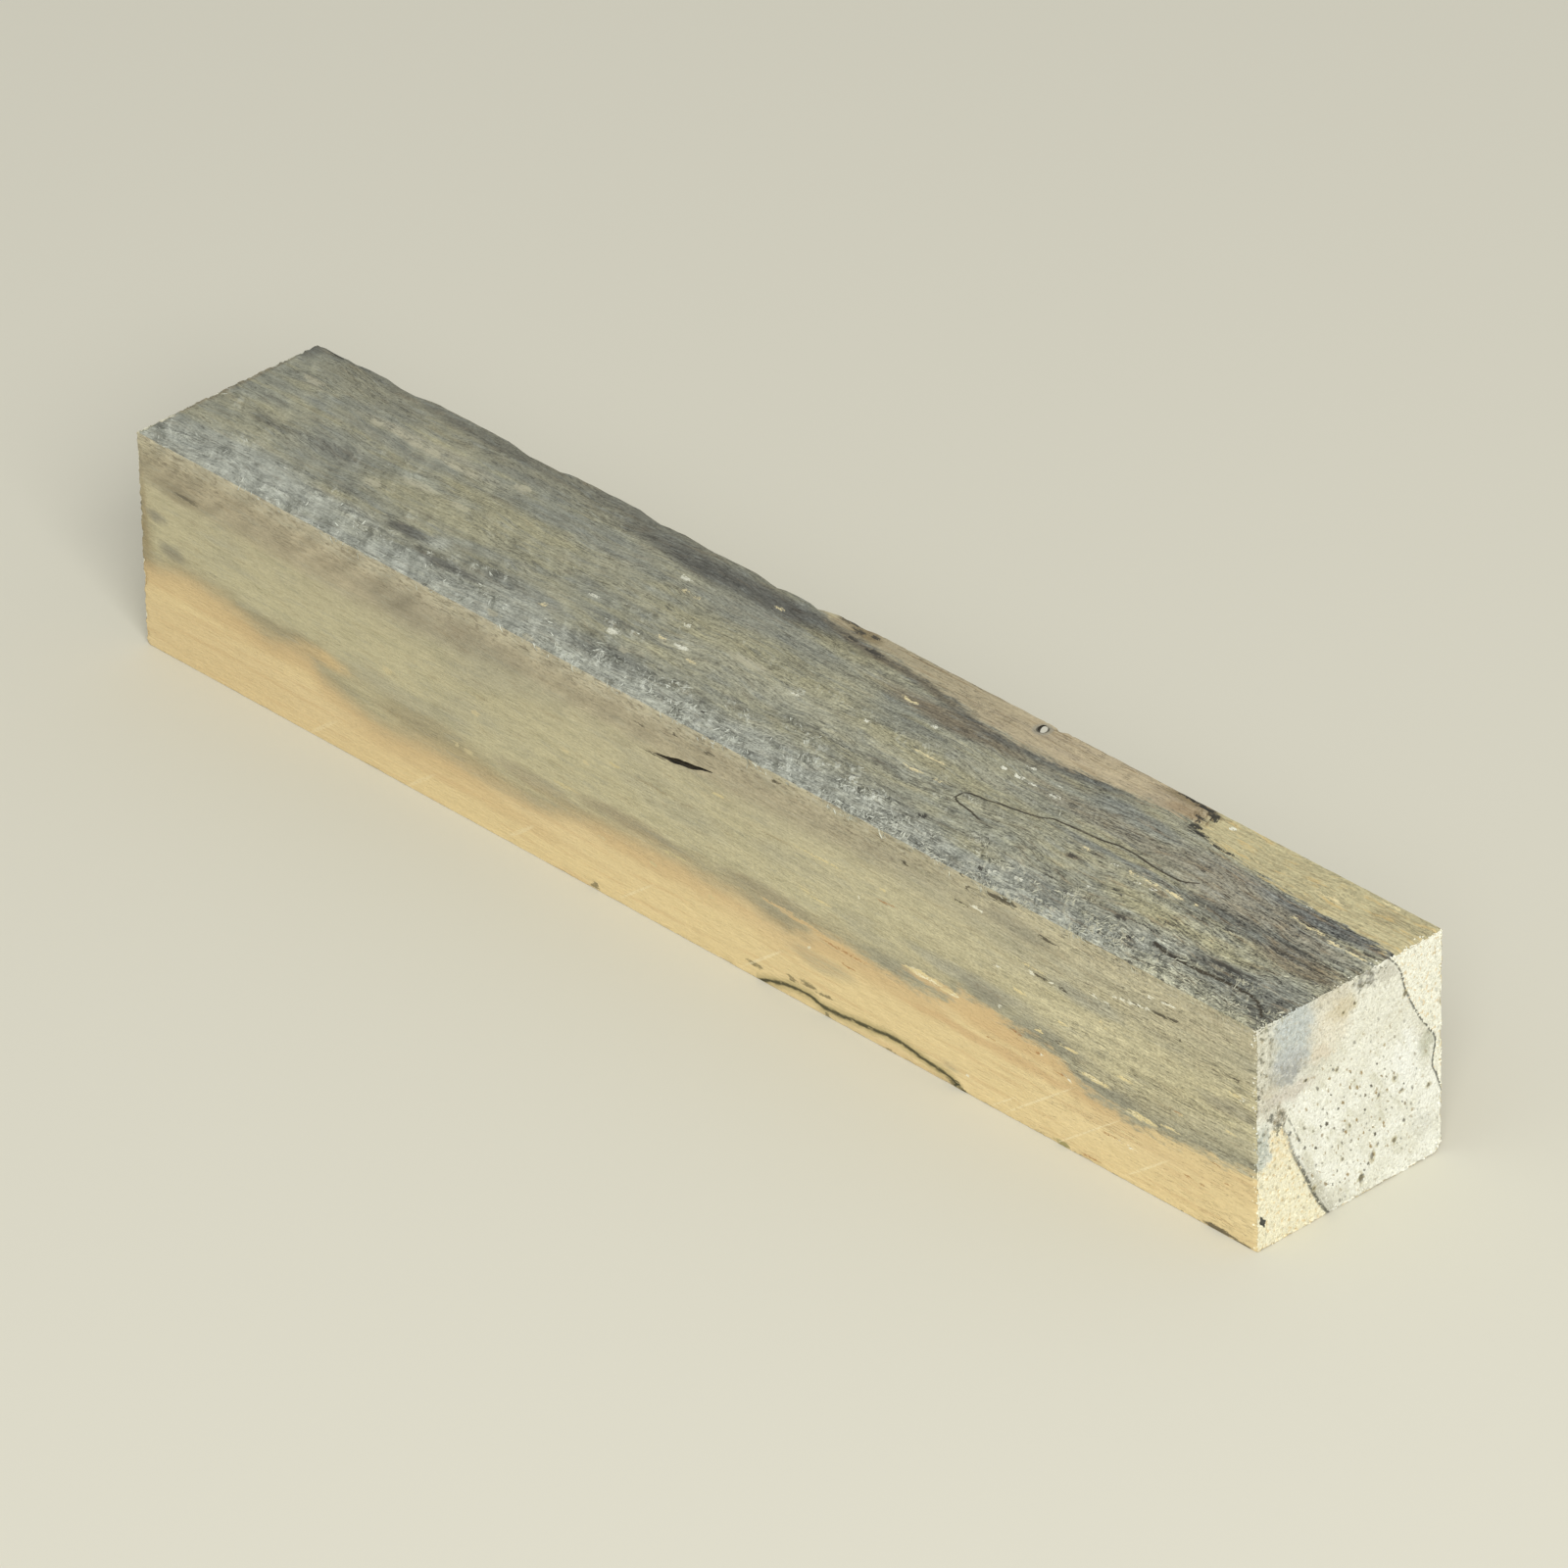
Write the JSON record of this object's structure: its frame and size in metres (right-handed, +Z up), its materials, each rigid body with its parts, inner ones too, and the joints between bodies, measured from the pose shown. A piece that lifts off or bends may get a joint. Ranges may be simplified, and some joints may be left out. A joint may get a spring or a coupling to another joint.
{
  "type": "wood turning blank",
  "caption": "Square sawn stick of spalted hardwood, a blank for turning a pen barrel, handle or other small spindle on a lathe.",
  "frame": {"origin": "centre of the underside", "axes": "+X along the stick towards the end that shows in the picture, -Y out of the long side that shows in the picture, +Z up"},
  "size_m": [0.127, 0.02, 0.02],
  "materials": {
    "spalted_wood": "bare sawn spalted hardwood, blue-grey and olive stain over straw and cream sapwood, dry and matt with torn grain"
  },
  "bodies": {
    "root": {"turning_blank": "spalted_wood"}
  },
  "joints": []
}
